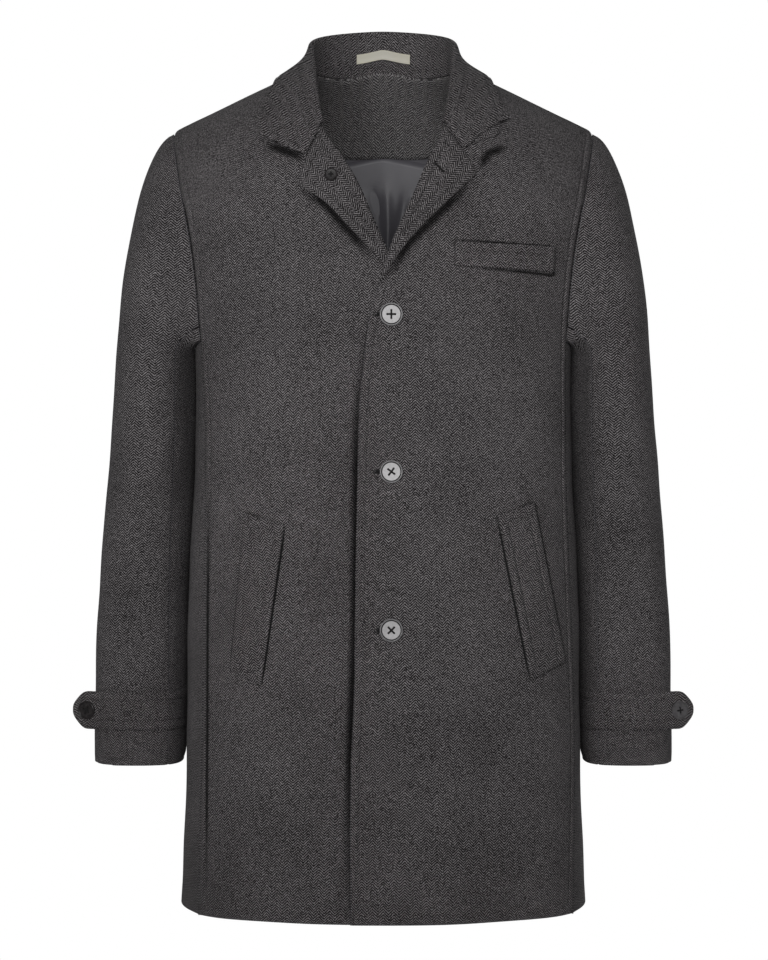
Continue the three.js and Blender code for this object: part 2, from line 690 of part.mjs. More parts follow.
function strapNormal(side) {
  return new THREE.Vector3(side * strap.alongY, -strap.alongX, 0).normalize();
}

function strapPoint(side, share, up, out) {
  const arcShare = 0.72;
  const travel = 1 + (strap.z - (-306)) / (cuffHeight - (-306));
  const turnAt = (part) => (strap.from + (strap.to - strap.from) * part) * toRadians;
  const straightLength = strap.straight * Math.max(0, (share - arcShare) / (1 - arcShare));
  const height = strap.halfHeight * up * (1 - 0.72 * smooth(strap.straight - strap.pointLength, strap.straight, straightLength));
  if (share <= arcShare) {
    const place = travel + height / (cuffHeight - (-306));
    return onSleeve(side, turnAt(share / arcShare), place, seamGap + out);
  }
  const leave = onSleeve(side, turnAt(1), travel, seamGap);
  leave.addScaledVector(new THREE.Vector3(side * strap.alongX, strap.alongY, 0), straightLength);
  leave.addScaledVector(strapNormal(side), out);
  leave.z += height;
  return leave;
}

function buildStrap(side, name) {
  const columns = 20;
  const pointAt = (out) => (i, j) => strapPoint(side, j / columns, 2 * i / 2 - 1, out);
  addMesh(name, wallGeometry(2, columns, pointAt(strap.thickness), pointAt(0)), wool);
}

// Four-hole button: a dished disc with a raised rim, drilled through
function buttonGeometry(diameter, thickness) {
  const radius = diameter / 2;
  const rim = radius * 0.2;
  const profile = [
    [0, 0], [radius * 0.72, 0], [radius, thickness * 0.4], [radius, thickness * 0.75],
    [radius - rim * 0.4, thickness], [radius - rim, thickness * 0.95], [radius * 0.62, thickness * 0.62], [0, thickness * 0.6],
  ].map(([x, y]) => new THREE.Vector2(x, y));
  const disc = toManifold(new THREE.LatheGeometry(profile, 16));
  let solid = disc;
  const holeRadius = radius * 0.09;
  const spacing = radius * 0.24;
  for (const [a, b] of [[1, 1], [-1, 1], [-1, -1], [1, -1]]) {
    const drill = new THREE.CylinderGeometry(holeRadius, holeRadius, thickness * 4, 6);
    drill.translate(a * spacing, 0, b * spacing);
    solid = solid.subtract(toManifold(drill));
  }
  const mesh = solid.getMesh();
  const geometry = new THREE.BufferGeometry();
  geometry.setAttribute('position', new THREE.BufferAttribute(mesh.vertProperties, 3));
  geometry.setIndex(new THREE.BufferAttribute(mesh.triVerts, 1));
  return geometry;
}

function toManifold(source) {
  source.deleteAttribute('normal');
  source.deleteAttribute('uv');
  const merged = mergeVertices(source, 1e-4);
  return new wasm.Manifold(new wasm.Mesh({
    numProp: 3,
    vertProperties: Float32Array.from(merged.attributes.position.array),
    triVerts: Uint32Array.from(merged.index.array),
  }));
}

function buildButton(name, diameter, thickness, seat, normal, look, turn = 0) {
  const mesh = addMesh(name, buttonGeometry(diameter, thickness), look);
  mesh.quaternion.setFromUnitVectors(new THREE.Vector3(0, 1, 0), normal);
  mesh.rotateY(turn);
  mesh.position.copy(seat);
}

function panelButton(name, side, x, z, base, size, look, turn = 0) {
  const seat = onPanel(side, x, z, base + seamGap);
  const normal = onPanel(side, x, z, base + 1).sub(onPanel(side, x, z, base)).normalize();
  // The disc is flat and the front is round, so it stands off by the bulge under it
  seat.addScaledVector(normal, 0.25);
  buildButton(name, size.diameter, size.thickness, seat, normal, look, turn);
}

const frontButton = { diameter: 23, thickness: 3.4 };
const cuffButton = { diameter: 19, thickness: 3 };
const counterButton = { diameter: 13, thickness: 2.4 };
const buttonHeights = { upper: -268, middle: -424, lower: -580 };
const buttonColumn = 8;
const quarterTurn = Math.PI / 4;

function buildCuffButton(side, name, look) {
  const share = 0.87;
  const seat = strapPoint(side, share, 0, strap.thickness);
  const normal = strapNormal(side);
  seat.addScaledVector(normal, seamGap);
  buildButton(name, cuffButton.diameter, cuffButton.thickness, seat, normal, look, quarterTurn);
}

const welts = {
  chest_welt: {
    side: leftSide,
    corners: [{ x: 71, z: -219 }, { x: 171, z: -222 }, { x: 71, z: -196 }, { x: 172, z: -197 }],
  },
  hip_welt_right: {
    side: rightSide,
    corners: [{ x: 121, z: -637 }, { x: 151, z: -621 }, { x: 98, z: -476 }, { x: 137, z: -466 }],
  },
  hip_welt_left: {
    side: leftSide,
    corners: [{ x: 147, z: -632 }, { x: 182, z: -615 }, { x: 114, z: -468 }, { x: 150, z: -455 }],
  },
};

buildFront(leftSide, 'front_left');
buildFront(rightSide, 'front_right');
buildSidePanel(leftSide, 'side_panel_left');
buildSidePanel(rightSide, 'side_panel_right');
buildBack();
buildLapel(leftSide, 'lapel_left', -240);
buildLapel(rightSide, 'lapel_right', -291);
buildCollar();
buildBackNeckFacing();
buildBackLining();
buildHangerLoop();
buildSleeve(leftSide, 'left');
buildSleeve(rightSide, 'right');
buildStrap(leftSide, 'cuff_strap_left');
buildStrap(rightSide, 'cuff_strap_right');
buildCuffButton(leftSide, 'cuff_button_left', horn);
buildCuffButton(rightSide, 'cuff_button_right', darkHorn);
for (const [name, { side, corners }] of Object.entries(welts)) {
  buildPatch(name, side, corners, 4, 4, layGap, 2.4);
}
const throatTab = [{ x: 91, z: -95 }, { x: 116, z: -86 }, { x: 86, z: -84 }, { x: 118, z: -70 }];
buildPatch('throat_tab', leftSide, throatTab, 2, 4, layGap, 1.6);
panelButton('front_button_upper', leftSide, buttonColumn, buttonHeights.upper, 0, frontButton, horn, quarterTurn);
panelButton('front_button_middle', leftSide, buttonColumn, buttonHeights.middle, 0, frontButton, horn);
panelButton('front_button_lower', leftSide, buttonColumn, buttonHeights.lower, 0, frontButton, horn);
panelButton('counter_button', rightSide, 51.5, -129, layGap + wallThickness, counterButton, darkHorn);

export default group;
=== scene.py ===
import math
import bmesh
import bpy
import numpy as np
from mathutils import Matrix, Vector
from mathutils.bvhtree import BVHTree
from mathutils.kdtree import KDTree


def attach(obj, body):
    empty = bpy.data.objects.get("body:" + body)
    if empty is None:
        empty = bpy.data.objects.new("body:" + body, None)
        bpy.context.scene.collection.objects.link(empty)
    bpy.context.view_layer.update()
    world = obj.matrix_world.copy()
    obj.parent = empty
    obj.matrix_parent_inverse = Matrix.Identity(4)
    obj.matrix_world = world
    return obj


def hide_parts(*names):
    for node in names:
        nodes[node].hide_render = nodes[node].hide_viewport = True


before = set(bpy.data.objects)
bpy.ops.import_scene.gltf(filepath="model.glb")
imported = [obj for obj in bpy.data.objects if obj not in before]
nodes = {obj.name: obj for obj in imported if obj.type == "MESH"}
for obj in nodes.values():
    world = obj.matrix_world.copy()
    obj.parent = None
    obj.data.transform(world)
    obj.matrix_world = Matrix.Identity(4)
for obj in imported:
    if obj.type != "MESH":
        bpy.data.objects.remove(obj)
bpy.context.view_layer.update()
mm = 0.001


def toLinear(code):
    # sRGB hex to linear colour
    parts = [int(code[i:i + 2], 16) / 255 for i in (1, 3, 5)]
    return [c / 12.92 if c <= 0.04045 else ((c + 0.055) / 1.055) ** 2.4 for c in parts] + [1.0]


def addNode(tree, kind, links=(), **settings):
    # links: input name or index -> value or (node, output)
    node = tree.nodes.new(kind)
    for key, value in settings.items():
        setattr(node, key, value)
    for key, value in dict(links).items():
        if isinstance(value, tuple) and len(value) == 2 and hasattr(value[0], "outputs"):
            tree.links.new(value[0].outputs[value[1]], node.inputs[key])
        else:
            node.inputs[key].default_value = value
    return node


def linkObject(name, data):
    made = bpy.data.objects.new(name, data)
    bpy.context.scene.collection.objects.link(made)
    return made


def meshObject(name, bm):
    mesh = bpy.data.meshes.new(name)
    bm.to_mesh(mesh)
    bm.free()
    return linkObject(name, mesh)


def newMaterial(name):
    material = bpy.data.materials.new(name)
    material.use_nodes = True
    tree = material.node_tree
    tree.nodes.clear()
    output = tree.nodes.new("ShaderNodeOutputMaterial")
    return material, tree, output


def finishMaterial(tree, output, color, roughness, bumps, sockets=()):
    # bumps: (node, output, strength, distance in metres), chained
    normal = None
    for source, socket, strength, distance in bumps:
        links = {"Strength": strength, "Distance": distance, "Height": (source, socket)}
        if normal:
            links["Normal"] = (normal, 0)
        normal = addNode(tree, "ShaderNodeBump", links)
    links = {"Base Color": color, "Roughness": roughness}
    if normal:
        links["Normal"] = (normal, 0)
    links.update(sockets)
    shader = addNode(tree, "ShaderNodeBsdfPrincipled", links)
    tree.links.new(shader.outputs[0], output.inputs[0])


# Scales per metre of patches about 11, 71, 40 and 4 mm across and of strands 0.35 mm apart
patternScale = {"wander": 90.0, "cloud": 14.0, "satin": 25.0, "buttonGrain": 260.0, "strands": 900.0}
# Herringbone: chevron columns of diagonal yarns, sizes in mm, and how the yarns, flecks and clouds share the colours
# The real yarns and fibres are finer and are drawn coarser here so that they show
weave = {"columnWidth": 5.3, "yarnPitch": 2.7, "yarnWander": 1.6, "fleckSize": 1.0,
         "fleckLow": 0.36, "fleckHigh": 0.64, "yarnShare": 0.46, "fleckShare": 0.5, "cloudShare": 0.14,
         "darkUpTo": 0.12, "middleAt": 0.52,
         "stitchInset": 9.0, "stitchWidth": 2.2, "stitchDepth": 1.1}


def herringboneWool(name, darkCode, midCode, lightCode, stitched=True, shadeCode=None):
    # brushed wool herringbone: matte, heathered grey with pale and dark flecks
    material, tree, output = newMaterial(name)
    uv = addNode(tree, "ShaderNodeUVMap", uv_map="weave")
    parts = addNode(tree, "ShaderNodeSeparateXYZ", {0: (uv, 0)})
    place = addNode(tree, "ShaderNodeTexCoord")
    wander = addNode(tree, "ShaderNodeTexNoise", {"Vector": (place, "Object"), "Scale": patternScale["wander"],
                                                  "Detail": 2.0})
    shift = addNode(tree, "ShaderNodeMath", {0: (wander, 0), 1: weave["yarnWander"], 2: -weave["yarnWander"] / 2},
                    operation="MULTIPLY_ADD")
    across = addNode(tree, "ShaderNodeMath", {0: (parts, 0), 1: weave["columnWidth"]}, operation="PINGPONG")
    diagonal = addNode(tree, "ShaderNodeMath", {0: (parts, 1), 1: (across, 0)}, operation="ADD")
    wavy = addNode(tree, "ShaderNodeMath", {0: (diagonal, 0), 1: (shift, 0)}, operation="ADD")
    turns = addNode(tree, "ShaderNodeMath", {0: (wavy, 0), 1: 2 * math.pi / weave["yarnPitch"]},
                    operation="MULTIPLY")
    wave = addNode(tree, "ShaderNodeMath", {0: (turns, 0)}, operation="SINE")
    yarn = addNode(tree, "ShaderNodeMath", {0: (wave, 0), 1: 0.5, 2: 0.5}, operation="MULTIPLY_ADD")
    fleck = addNode(tree, "ShaderNodeTexNoise", {"Vector": (place, "Object"), "Scale": 1 / (weave["fleckSize"] * mm),
                                                 "Detail": 3.0, "Roughness": 0.75})
    fleckSpread = addNode(tree, "ShaderNodeMapRange", {"Value": (fleck, 0), "From Min": weave["fleckLow"],
                                                       "From Max": weave["fleckHigh"]})
    cloud = addNode(tree, "ShaderNodeTexNoise", {"Vector": (place, "Object"), "Scale": patternScale["cloud"],
                                                 "Detail": 4.0})
    mixed = addNode(tree, "ShaderNodeMath", {0: (yarn, 0), 1: weave["yarnShare"]}, operation="MULTIPLY")
    flecked = addNode(tree, "ShaderNodeMath", {0: (fleckSpread, 0), 1: weave["fleckShare"], 2: (mixed, 0)},
                      operation="MULTIPLY_ADD")
    shade = addNode(tree, "ShaderNodeMath", {0: (cloud, 0), 1: weave["cloudShare"], 2: (flecked, 0)},
                    operation="MULTIPLY_ADD")
    ramp = addNode(tree, "ShaderNodeValToRGB", {0: (shade, 0)})
    ramp.color_ramp.elements[0].position = weave["darkUpTo"]
    ramp.color_ramp.elements[0].color = toLinear(darkCode)
    ramp.color_ramp.elements[1].position = 1.0
    ramp.color_ramp.elements[1].color = toLinear(lightCode)
    middle = ramp.color_ramp.elements.new(weave["middleAt"])
    middle.color = toLinear(midCode)
    bumps = [(yarn, 0, 0.35, 0.0004), (fleck, 0, 0.4, 0.0006)]
    if stitched:
        edge = addNode(tree, "ShaderNodeAttribute", attribute_name="edgeDistance")
        offLine = addNode(tree, "ShaderNodeMath", {0: (edge, 2), 1: weave["stitchInset"] * mm},
                          operation="SUBTRACT")
        gap = addNode(tree, "ShaderNodeMath", {0: (offLine, 0)}, operation="ABSOLUTE")
        groove = addNode(tree, "ShaderNodeMapRange", {"Value": (gap, 0), "From Max": weave["stitchWidth"] * mm},
                         interpolation_type="SMOOTHSTEP")
        bumps.append((groove, 0, 1.0, weave["stitchDepth"] * mm))
    sheen = {"Sheen Weight": 0.06, "Sheen Roughness": 0.5, "Specular IOR Level": 0.15}
    color = (ramp, 0)
    # painted shade: with a shade colour, the wool darkens towards it as far as a strip's shade attribute says
    if shadeCode:
        depth = addNode(tree, "ShaderNodeAttribute", attribute_name="shade")
        shaded = addNode(tree, "ShaderNodeMix", {0: (depth, 2), 6: color, 7: toLinear(shadeCode)},
                         data_type="RGBA")
        color = (shaded, 2)
    finishMaterial(tree, output, color, 0.95, bumps, sheen)
    return material


def satinLining(name, code, paleCode):
    # polyester satin: smooth, softly shiny, with faint ribs 1 mm apart, coarser than real ones so that they show
    material, tree, output = newMaterial(name)
    uv = addNode(tree, "ShaderNodeUVMap", uv_map="weave")
    parts = addNode(tree, "ShaderNodeSeparateXYZ", {0: (uv, 0)})
    ribTurns = addNode(tree, "ShaderNodeMath", {0: (parts, 1), 1: 6.0}, operation="MULTIPLY")  # radians in a mm
    ribs = addNode(tree, "ShaderNodeMath", {0: (ribTurns, 0)}, operation="SINE")
    place = addNode(tree, "ShaderNodeTexCoord")
    cloud = addNode(tree, "ShaderNodeTexNoise", {"Vector": (place, "Object"), "Scale": patternScale["satin"],
                                                 "Detail": 4.0})
    tint = addNode(tree, "ShaderNodeMix", {0: (cloud, 0), 6: toLinear(code), 7: toLinear(paleCode)},
                   data_type="RGBA")
    finishMaterial(tree, output, (tint, 2), 0.38, [(ribs, 0, 0.08, 0.0002), (cloud, 0, 0.12, 0.001)],
                   {"Sheen Weight": 0.1})
    return material


def polishedButton(name, darkCode, paleCode, roughness):
    # moulded polyester, polished: a small clear highlight over a faint cloudy grain
    material, tree, output = newMaterial(name)
    place = addNode(tree, "ShaderNodeTexCoord")
    grain = addNode(tree, "ShaderNodeTexNoise", {"Vector": (place, "Object"), "Scale": patternScale["buttonGrain"],
                                                 "Detail": 4.0, "Distortion": 1.2})
    spread = addNode(tree, "ShaderNodeMapRange", {"Value": (grain, 0), "From Min": 0.35, "From Max": 0.65})
    tint = addNode(tree, "ShaderNodeMix", {0: (spread, 0), 6: toLinear(darkCode), 7: toLinear(paleCode)},
                   data_type="RGBA")
    finishMaterial(tree, output, (tint, 2), roughness, [(grain, 0, 0.06, 0.0002)])
    return material


def twistedThread(name, code, paleCode):
    # twisted polyester thread: matte, with fine strands that catch a little light
    material, tree, output = newMaterial(name)
    place = addNode(tree, "ShaderNodeTexCoord")
    strands = addNode(tree, "ShaderNodeTexWave", {"Vector": (place, "Object"), "Scale": patternScale["strands"],
                                                  "Distortion": 2.0})
    tint = addNode(tree, "ShaderNodeMix", {0: (strands, 0), 6: toLinear(code), 7: toLinear(paleCode)},
                   data_type="RGBA")
    finishMaterial(tree, output, (tint, 2), 0.7, [(strands, 0, 0.5, 0.0003)])
    return material


woolCodes = ("#040304", "#2a2728", "#c6c1c3")  # dark yarn, middle grey, pale fleck
materials = {
    "body": herringboneWool("grey_herringbone_wool", *woolCodes, stitched=False),
    "edged": herringboneWool("grey_herringbone_wool_edge_stitched", *woolCodes),
    # painted shade in creases and beside the welts, a side seam, the lapels, the collar and the front edge
    "shaded": herringboneWool("grey_herringbone_wool_with_painted_crease_shade", *woolCodes, stitched=False, shadeCode="#040304"),
    # painted light: the facing is the coat's wool in lighter colours, making up for the shade inside the neck
    "facing": herringboneWool("grey_herringbone_wool_facing_painted_lighter", "#131112", "#504d4e", "#d8d5d5", stitched=False),
    "lining": satinLining("grey_satin_lining", "#67656b", "#7d7b82"),
    "tape": satinLining("cream_woven_tape", "#f7f1d6", "#fdfaf0"),
    "button": polishedButton("pale_grey_polyester_button", "#c9c7c8", "#dad8da", 0.32),
    # black counter button, and painted shade and dark reflection on the right cuff button
    "blackButtonAndShadedCuffButton": polishedButton("black_polyester_button_and_painted_cuff_shade", "#211e1e", "#3d393a", 0.24),
    "greyButton": polishedButton("mid_grey_polyester_button", "#5f5d5f", "#7b797b", 0.3),
    "rim": polishedButton("grey_button_rim", "#7f7d7f", "#9a989a", 0.22),
    # painted shade in the groove ring and the holes of the front buttons
    "groove": polishedButton("painted_shade_in_button_groove", "#171516", "#262425", 0.5),
    "thread": twistedThread("black_sewing_thread", "#0e0d0e", "#262425"),
    "purl": twistedThread("charcoal_buttonhole_thread", "#1d1b1c", "#3a3738"),
    # painted shade: a near-black sheet laid in the buttonhole slits and pocket mouths, where the openings lie in shade
    "slit": twistedThread("painted_shade_in_slit", "#070607", "#131213"),
}
print("materials made")

# Camera level with the middle of the coat, in metres, lens and sensor in mm
cameraPlace = {"distance": 2.2, "height": -0.432, "lens": 78.6, "sensor": 36.0, "aimX": 0.0008}


def makeCamera():
    data = bpy.data.cameras.new("camera")
    data.sensor_fit = "VERTICAL"
    data.sensor_height = cameraPlace["sensor"]
    data.lens = cameraPlace["lens"]
    camera = linkObject("camera", data)
    camera.location = (cameraPlace["aimX"], -cameraPlace["distance"], cameraPlace["height"])
    camera.rotation_euler = (math.radians(90), 0, 0)
    bpy.context.scene.camera = camera


studio = {"floorZ": -1.5, "radius": 2.4, "ambient": 0.15}  # metres, and the share of white that lights the coat
# Lamps: place, what it points at and size in metres, power in watts, spread in degrees
lamps = {
    "key": {"place": (-0.7, -2.45, -0.05), "target": (0.01, 0, -0.31), "size": (1.3, 0.9), "power": 1.29, "spread": 42},
    "fill": {"place": (0.2, -2.7, -0.1), "target": (0, 0, -0.16), "size": (0.9, 0.6), "power": 1.2, "spread": 60},
    "back": {"place": (0.8, 3.0, -0.35), "target": (0, 0, -0.4), "size": (2.0, 1.2), "power": 24, "spread": 180},
}


def makeStage():
    # plain pale floor under the hanging coat
    bm = bmesh.new()
    bmesh.ops.create_circle(bm, cap_ends=True, segments=64, radius=studio["radius"])
    bmesh.ops.translate(bm, verts=bm.verts, vec=(0, 0, studio["floorZ"]))
    floor = meshObject("floor", bm)
    material, tree, output = newMaterial("white_studio_paper")
    finishMaterial(tree, output, toLinear("#f9f9f9"), 0.9, [])
    floor.data.materials.append(material)


def addLight(name, row):
    data = bpy.data.lights.new(name, "AREA")
    data.shape = "RECTANGLE"
    data.size, data.size_y = row["size"]
    data.energy = row["power"]
    data.spread = math.radians(row["spread"])
    light = linkObject(name, data)
    light.location = row["place"]
    light.rotation_euler = (Vector(row["target"]) - Vector(row["place"])).to_track_quat("-Z", "Y").to_euler()


def makeLights():
    for name, row in lamps.items():
        addLight(name, row)
    # white behind the coat, softer as a light on it
    world = bpy.data.worlds.new("studio")
    world.use_nodes = True
    tree = world.node_tree
    tree.nodes.clear()
    path = addNode(tree, "ShaderNodeLightPath")
    level = addNode(tree, "ShaderNodeMapRange", {"Value": (path, "Is Camera Ray"), "To Min": studio["ambient"],
                                                 "To Max": 1.0})
    sky = addNode(tree, "ShaderNodeBackground", {"Color": (1, 1, 1, 1), "Strength": (level, 0)})
    addNode(tree, "ShaderNodeOutputWorld", {0: (sky, 0)})
    bpy.context.scene.world = world
    bpy.context.scene.view_settings.view_transform = "Standard"


makeCamera()
makeStage()
makeLights()
print("camera, floor and lights made")

# Torso, sleeve and neck sizes that lay the weave out on the cloth, in metres
torso = {"halfWidth": 0.205, "depth": 0.124, "power": 2.5, "roundingZ": -0.15, "roundingRadius": 0.134,
         "shoulderSlope": 0.486, "levelAt": 0.078}
sleeve = {"z": [-0.727, -0.558, -0.432, -0.306, -0.07], "x": [0.258, 0.253, 0.246, 0.240, 0.222],
          "y": [0.020, 0.025, 0.016, 0.006, 0.0], "radius": 0.06}
neck = {"backY": 0.064, "middleY": 0.03, "slant": 0.6}


def sectionArc():
    # distance round the section from the centre front, against x over half width
    turns = np.linspace(0, math.pi / 2, 200)
    x = torso["halfWidth"] * np.sin(turns) ** (2 / torso["power"])
    y = torso["depth"] * np.cos(turns) ** (2 / torso["power"])
    length = np.concatenate([[0], np.cumsum(np.hypot(np.diff(x), np.diff(y)))])
    return x / torso["halfWidth"], length


arcShare, arcLength = sectionArc()


def torsoWeave(co):
    # round the body and up over the shoulders
    share = np.clip(np.abs(co[:, 0]) / torso["halfWidth"], 0, 1)
    across = np.sign(co[:, 0]) * np.interp(share, arcShare, arcLength)
    top = -torso["shoulderSlope"] * (np.abs(co[:, 0]) - torso["levelAt"])
    rise = np.clip((co[:, 2] - torso["roundingZ"]) / (top - torso["roundingZ"]), 0, None)
    over = np.arctan2(rise, np.abs(co[:, 1]) / torso["depth"])
    up = np.where(co[:, 2] > torso["roundingZ"], torso["roundingZ"] + torso["roundingRadius"] * over, co[:, 2])
    return np.stack([across, up], 1)


def sideWeave(co):
    return np.stack([co[:, 1], co[:, 2]], 1)


def sleeveWeave(co):
    # round the bent middle line of the sleeve
    cx = np.interp(co[:, 2], sleeve["z"], sleeve["x"])
    cy = np.interp(co[:, 2], sleeve["z"], sleeve["y"])
    turn = np.arctan2(cy - co[:, 1], np.abs(co[:, 0]) - cx)
    return np.stack([turn * sleeve["radius"], co[:, 2]], 1)


def slantedWeave(degrees):
    def lay(co):
        c, s = math.cos(math.radians(degrees)), math.sin(math.radians(degrees))
        return np.stack([co[:, 0] * c + co[:, 2] * s, co[:, 2] * c - co[:, 0] * s], 1)
    return lay


def neckWeave(co):
    # round the neck, and down the leaf as it falls away from it
    across = np.sign(co[:, 0]) * (np.abs(co[:, 0]) - neck["slant"] * (co[:, 1] - neck["backY"]))
    outwards = np.hypot(co[:, 0], co[:, 1] - neck["middleY"])
    return np.stack([across, co[:, 2] - neck["slant"] * outwards], 1)


def getCo(mesh):
    co = np.empty(len(mesh.vertices) * 3)
    mesh.vertices.foreach_get("co", co)
    return co.reshape(-1, 3)


def setCo(mesh, co):
    mesh.vertices.foreach_set("co", co.ravel())
    mesh.update()


def getNormals(mesh):
    normals = np.empty(len(mesh.vertices) * 3)
    mesh.vertices.foreach_get("normal", normals)
    return normals.reshape(-1, 3)


def smoothstep(low, high, value):
    t = np.clip((value - low) / (high - low), 0, 1)
    return t * t * (3 - 2 * t)


# How cloth is made: angles in degrees, the rest in mm; the seam dips near the rim and a roll rises beside it
clothShape = {"rimAngle": 55, "joinAngle": 50, "joinShapeAngle": 75, "mergeGap": 0.02, "rimStep": 2,
              "easeWidth": 12, "dipWidth": 6, "rollWidth": (3, 6, 11)}
# Folds fade over their ends and over the faces that turn away; rumples are waves in radians per metre with a sway
foldShape = {"endInset": 0.05, "endPower": 0.6, "turnedReach": 0.35}
rumpleWaves = {"across": (61, 1.7, 23), "up": (37, 1.3, 41)}


def rimEdges(bm):
    return [edge for edge in bm.edges
            if len(edge.link_faces) == 2 and edge.calc_face_angle(0) > math.radians(clothShape["rimAngle"])]


def rimDistance(mesh, co):
    # distance of each point from the cut edge of its panel
    bm = bmesh.new()
    bm.from_mesh(mesh)
    points = []
    for edge in rimEdges(bm):
        a, b = edge.verts[0].co, edge.verts[1].co
        count = max(1, int((b - a).length / (clothShape["rimStep"] * mm)))
        points += [a.lerp(b, k / count) for k in range(count + 1)]
    bm.free()
    tree = KDTree(len(points))
    for k, point in enumerate(points):
        tree.insert(point, k)
    tree.balance()
    return np.array([tree.find(Vector(p))[2] for p in co])


def creaseDepth(co, normals, rows):
    # rows: ends as seen from the front or the side, width, depth and bow in mm, and the face it shows on
    out = np.zeros(len(co))
    for row in rows:
        fromSide = row.get("seen") == "side"
        a, b = np.array(row["a"]) * mm, np.array(row["b"]) * mm
        flat = co[:, [1, 2]] if fromSide else co[:, [0, 2]]
        along = b - a
        t = np.clip(((flat - a) @ along) / (along @ along), 0, 1)
        across = np.array([-along[1], along[0]]) / np.hypot(*along)
        bend = row["bow"] * mm * np.sin(np.pi * t)[:, None] * across
        off = np.linalg.norm(flat - (a + t[:, None] * along + bend), axis=1)
        inset = foldShape["endInset"]
        ends = np.sin(np.pi * np.clip(t * (1 - 2 * inset) + inset, 0, 1)) ** foldShape["endPower"]
        turned = normals[:, 0] if fromSide else -normals[:, 1]
        facing = smoothstep(0.0, foldShape["turnedReach"], turned * row.get("face", 1))
        out += row["depth"] * mm * ends * facing * np.exp(-(off / (row["width"] * mm)) ** 2)
    return out


def smoothForm(nodeName, level):
    # the node's form with its triangles joined, its rims kept sharp and the rest subdivided
    bm = bmesh.new()
    bm.from_mesh(nodes[nodeName].data)
    bmesh.ops.remove_doubles(bm, verts=bm.verts, dist=clothShape["mergeGap"] * mm)
    bmesh.ops.join_triangles(bm, faces=bm.faces, angle_face_threshold=math.radians(clothShape["joinAngle"]),
                             angle_shape_threshold=math.radians(clothShape["joinShapeAngle"]))
    crease = bm.edges.layers.float.new("crease_edge")
    for edge in rimEdges(bm):
        edge[crease] = 1.0
    piece = meshObject(nodeName + "_cloth", bm)
    smoother = piece.modifiers.new("smooth", "SUBSURF")
    smoother.levels = level
    smoother.render_levels = level
    smoother.boundary_smooth = "PRESERVE_CORNERS"
    fine = bpy.data.meshes.new_from_object(piece.evaluated_get(bpy.context.evaluated_depsgraph_get()))
    piece.modifiers.clear()
    piece.data = fine
    fine.name = nodeName + "_cloth"
    return piece


def rumpleOf(co):
    # slow, shallow unevenness, from -1 to 1
    rate, sway, swayRate = rumpleWaves["across"]
    across = np.sin(co[:, 0] * rate + sway * np.sin(co[:, 2] * swayRate))
    rate, sway, swayRate = rumpleWaves["up"]
    return across * np.sin(co[:, 2] * rate + sway * np.sin(co[:, 1] * swayRate + 2))


def layWeave(mesh, layoutUv):
    # weave layout in mm, one place for each corner of a face
    loops = np.empty(len(mesh.loops), dtype=np.int32)
    mesh.loops.foreach_get("vertex_index", loops)
    uv = mesh.uv_layers.get("weave") or mesh.uv_layers.new(name="weave")
    uv.data.foreach_set("uv", (layoutUv / mm)[loops].ravel())


def lineInside(mesh, inner):
    # lining on the faces that look into the body or the sleeve
    mesh.materials.append(materials["lining"])
    centres = np.empty(len(mesh.polygons) * 3)
    faceNormals = np.empty(len(mesh.polygons) * 3)
    mesh.polygons.foreach_get("center", centres)
    mesh.polygons.foreach_get("normal", faceNormals)
    outside = inner(centres.reshape(-1, 3), faceNormals.reshape(-1, 3))
    mesh.polygons.foreach_set("material_index", np.where(outside, 0, 1).astype(np.int32))


def clothPiece(nodeName, layout, look, level=2, creases=(), inner=None, seamDip=0.8, rumple=0.6,
               roll=0.0):
    # smooth cloth shell on a node's form, with its creases, weave layout and distance from the edge; heights in mm
    piece = smoothForm(nodeName, level)
    mesh = piece.data
    co, normals = getCo(mesh), getNormals(mesh)
    edgeDistance = rimDistance(mesh, co)
    ease = smoothstep(0.0, clothShape["easeWidth"] * mm, edgeDistance)
    outwards = np.where(inner(co, normals)[:, None], normals, -normals) if inner else normals
    rise, crest, fall = (width * mm for width in clothShape["rollWidth"])
    dents = (creaseDepth(co, outwards, creases) + rumple * mm * rumpleOf(co)) * ease
    dents -= seamDip * mm * (1 - smoothstep(0.0, clothShape["dipWidth"] * mm, edgeDistance))
    dents += roll * mm * smoothstep(0.0, rise, edgeDistance) * (1 - smoothstep(crest, fall, edgeDistance))
    setCo(mesh, co + outwards * dents[:, None])
    layWeave(mesh, layout(co))
    mesh.attributes.new("edgeDistance", "FLOAT", "POINT").data.foreach_set("value", edgeDistance)
    mesh.materials.clear()
    mesh.materials.append(materials[look])
    if inner:
        lineInside(mesh, inner)
    mesh.update()
    mesh.shade_smooth()
    mesh.set_sharp_from_angle(angle=math.radians(clothShape["rimAngle"]))
    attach(piece, "root")
    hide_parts(nodeName)
    return piece


# What the inner faces look at: the middle part of the width, up to these heights in metres
innerForm = {"widthShare": 0.45, "torsoTop": -0.2, "sleeveTop": -0.16}


def outsideTorso(co, normals):
    # true where a face looks away from the middle of the body
    over = np.clip(co[:, 2] - innerForm["torsoTop"], 0, None)
    away = np.stack([co[:, 0] * innerForm["widthShare"], co[:, 1], over], 1)
    return np.einsum("ij,ij->i", away, normals) > 0


def outsideSleeve(co, normals):
    # true where a face looks away from the middle line of its sleeve
    cx = np.interp(co[:, 2], sleeve["z"], sleeve["x"]) * np.sign(co[:, 0])
    cy = np.interp(co[:, 2], sleeve["z"], sleeve["y"])
    away = np.stack([co[:, 0] - cx, co[:, 1] - cy, np.clip(co[:, 2] - innerForm["sleeveTop"], 0, None)], 1)
    return np.einsum("ij,ij->i", away, normals) > 0


